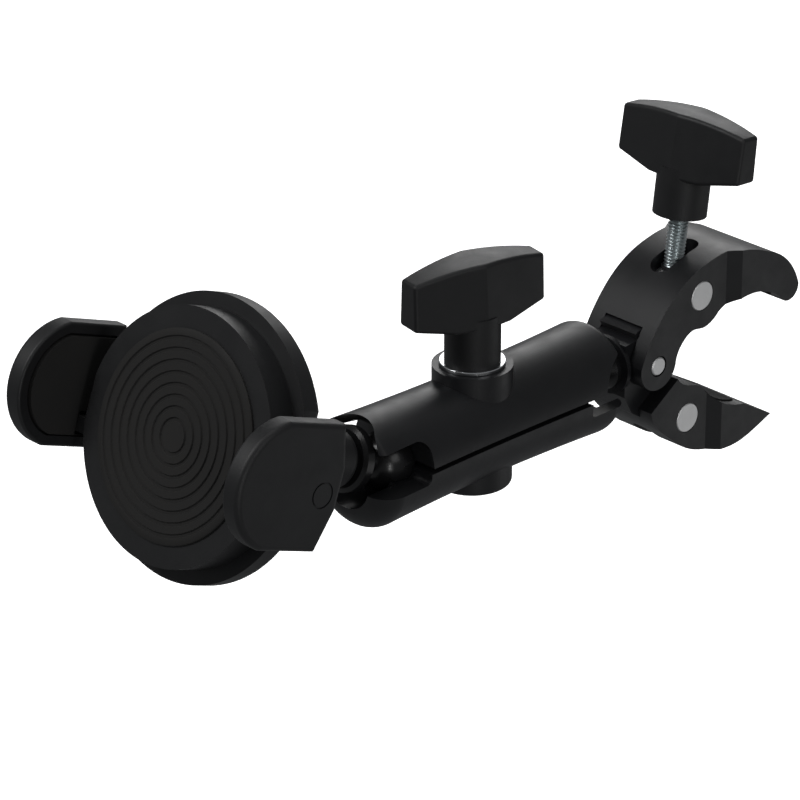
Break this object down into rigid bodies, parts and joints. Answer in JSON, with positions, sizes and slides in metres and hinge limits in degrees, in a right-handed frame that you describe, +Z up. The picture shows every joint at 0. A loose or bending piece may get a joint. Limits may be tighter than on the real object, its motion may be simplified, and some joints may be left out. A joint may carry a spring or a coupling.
{
  "type": "phone handlebar mount",
  "caption": "Handlebar clamp with a T knob, a double socket arm on two balls and a round phone holder whose side jaws slide together on racks.",
  "frame": {"origin": "centre of the handlebar in the clamp's mouth", "axes": "+X along the handlebar, +Y from the phone holder towards the clamp, +Z up"},
  "size_m": [0.09, 0.2457, 0.1018],
  "materials": {
    "black_coated_metal": "matte",
    "black_gloss_ball": "gloss",
    "black_moulded": "matte",
    "natural_nylon": "satin",
    "black_rubber": "matte",
    "satin_steel": "satin",
    "zinc_steel": "bright zinc",
    "polished_washer": "polished",
    "spring_steel": "satin",
    "insert_brass": "satin"
  },
  "bodies": {
    "clamp_base": {"lower_jaw": "black_coated_metal", "lower_jaw_pad": "black_rubber", "pivot_pin": "satin_steel"},
    "swing_jaw": {"upper_jaw": "black_coated_metal", "upper_jaw_pad": "black_rubber"},
    "upper_trunnion": {"upper_barrel": "satin_steel"},
    "clamp_screw_set": {"clamp_screw": "zinc_steel", "screw_clips": "spring_steel", "clamp_knob": "black_moulded"},
    "lower_trunnion": {"lower_barrel": "satin_steel"},
    "clamp_ball": {"clamp_ball_stud": "black_gloss_ball"},
    "arm_base": {"arm_lower_shell": "black_coated_metal", "arm_bolt": "zinc_steel", "arm_spring": "spring_steel"},
    "arm_cover": {"arm_upper_shell": "black_coated_metal", "arm_washer": "polished_washer"},
    "arm_knob_set": {"arm_knob": "black_moulded", "arm_knob_insert": "insert_brass"},
    "holder_ball": {"holder_ball_stud": "black_gloss_ball"},
    "holder_body": {"holder_post": "black_moulded", "post_screws": "zinc_steel", "rear_cover": "black_moulded", "cover_screws": "zinc_steel", "body_tray": "black_moulded", "front_pad": "black_rubber", "pinion_pin": "satin_steel", "pinion_spring": "spring_steel"},
    "pinion_wheel": {"pinion": "natural_nylon"},
    "right_jaw": {"right_jaw_shell": "black_moulded", "right_jaw_rack": "natural_nylon", "right_jaw_pad": "black_rubber", "right_jaw_screws": "zinc_steel"},
    "left_jaw": {"left_jaw_shell": "black_moulded", "left_jaw_rack": "natural_nylon", "left_jaw_pad": "black_rubber", "left_jaw_screws": "zinc_steel"}
  },
  "joints": [
    {"name": "clamp_knob_turn", "type": "hinge", "parent": "upper_trunnion", "child": "clamp_screw_set", "pos_m": [0, -0.01243, 0.02162], "axis": [0, 0.1279, 0.9918], "range_deg": [-3600, 540]},
    {"name": "jaw_pivot", "type": "hinge", "parent": "clamp_base", "child": "swing_jaw", "pos_m": [0, -0.0299, 0.0053], "axis": [1, 0, 0], "range_deg": [-33, 5.5]},
    {"name": "upper_barrel_turn", "type": "hinge", "parent": "swing_jaw", "child": "upper_trunnion", "pos_m": [0, -0.01243, 0.02162], "axis": [1, 0, 0], "range_deg": [-3, 17]},
    {"name": "lower_barrel_turn", "type": "hinge", "parent": "clamp_base", "child": "lower_trunnion", "pos_m": [0, -0.01715, -0.01491], "axis": [1, 0, 0], "range_deg": [-17, 3]},
    {"name": "clamp_ball_roll", "type": "hinge", "parent": "clamp_base", "child": "clamp_ball", "pos_m": [0, -0.0593, 0.0043], "axis": [0, 1, 0], "continuous": true},
    {"name": "arm_swing", "type": "hinge", "parent": "clamp_ball", "child": "arm_base", "pos_m": [0, -0.0593, 0.0043], "axis": [0, 0, 1], "range_deg": [-30, 30]},
    {"name": "arm_cover_lift", "type": "slide", "parent": "arm_base", "child": "arm_cover", "axis": [0, 0, 1], "range_m": [0, 0.0012], "deforming": ["arm_spring"]},
    {"name": "arm_knob_turn", "type": "hinge", "parent": "arm_cover", "child": "arm_knob_set", "pos_m": [0, -0.0923, 0.0237], "axis": [0, 0, 1], "range_deg": [0, 433]},
    {"name": "holder_tilt", "type": "hinge", "parent": "arm_base", "child": "holder_ball", "pos_m": [0, -0.1253, 0.0043], "axis": [1, 0, 0], "range_deg": [-10, 17]},
    {"name": "holder_turn", "type": "hinge", "parent": "holder_ball", "child": "holder_body", "pos_m": [0, -0.1253, 0.0043], "axis": [0, -0.9364, 0.351], "continuous": true},
    {"name": "right_jaw_slide", "type": "slide", "parent": "holder_body", "child": "right_jaw", "axis": [1, 0, 0], "range_m": [-0.0046, 0.009]},
    {"name": "left_jaw_slide", "type": "slide", "parent": "holder_body", "child": "left_jaw", "axis": [-1, 0, 0], "range_m": [-0.0046, 0.009]},
    {"name": "pinion_turn", "type": "hinge", "parent": "holder_body", "child": "pinion_wheel", "pos_m": [0, -0.20451, 0.03814], "axis": [0, -0.9364, 0.351], "range_deg": [-95, 50]}
  ],
  "couplings": [
    {"joint": "jaw_pivot", "follows": "clamp_knob_turn", "ratio": 0.0089778},
    {"joint": "upper_barrel_turn", "follows": "clamp_knob_turn", "ratio": -0.0044889},
    {"joint": "lower_barrel_turn", "follows": "clamp_knob_turn", "ratio": 0.0044889},
    {"joint": "arm_knob_turn", "follows": "arm_cover_lift", "rad_per_m": 6283.2},
    {"joint": "left_jaw_slide", "follows": "right_jaw_slide", "ratio": 1},
    {"joint": "pinion_turn", "follows": "right_jaw_slide", "rad_per_m": -178.57}
  ]
}
